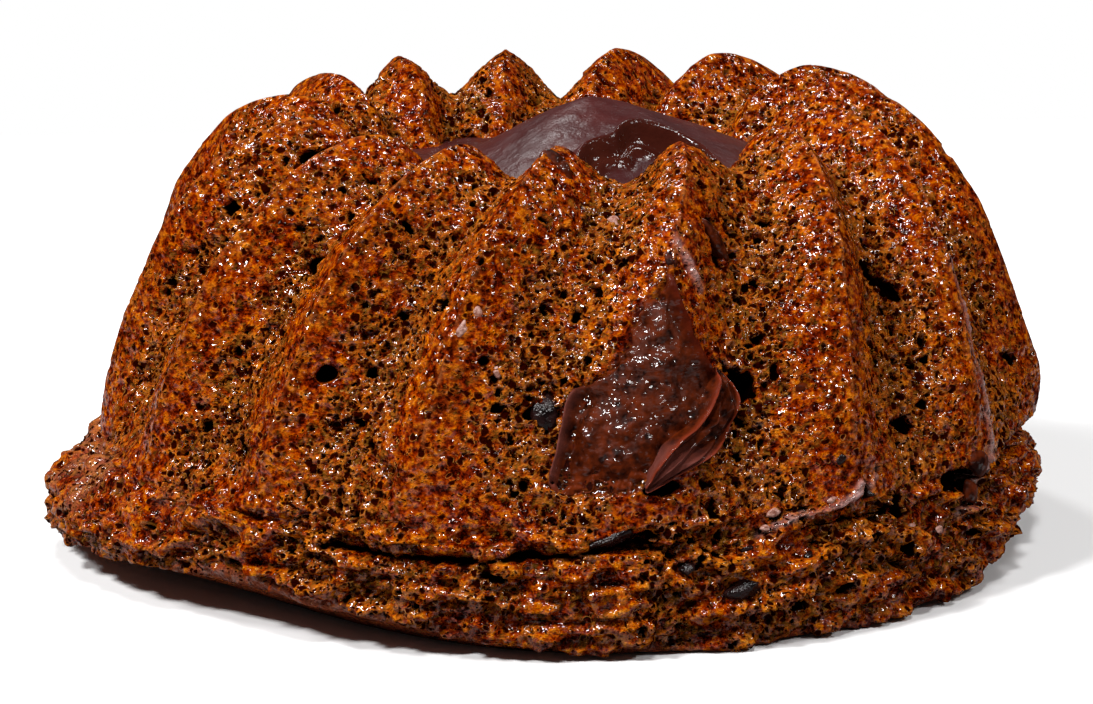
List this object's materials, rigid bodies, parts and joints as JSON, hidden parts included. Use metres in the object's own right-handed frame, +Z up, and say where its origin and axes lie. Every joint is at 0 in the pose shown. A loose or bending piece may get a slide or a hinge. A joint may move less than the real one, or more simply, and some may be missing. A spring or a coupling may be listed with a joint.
{
  "type": "fluted chocolate lava cake",
  "caption": "Individual fluted ring cake of dark open-crumbed chocolate sponge, its well filled with a mound of ganache, with ganache run down the front.",
  "frame": {"origin": "centre of the ring of flutes, on the plane that the cake stands on", "axes": "+Z up along the axis of the ring; -Y is the front, where the ganache has run down; -X is the side where the base spreads into a lip"},
  "size_m": [0.1015, 0.0966, 0.0453],
  "materials": {
    "crumb": "open sponge crumb with moist, caramelised ridges",
    "ganache_skin": "set chocolate ganache with a satin skin",
    "ganache_wet": "wet, syrupy chocolate ganache"
  },
  "bodies": {
    "root": {"sponge": "crumb", "ganache_core": "ganache_skin", "ganache_run": "ganache_wet"}
  },
  "joints": []
}
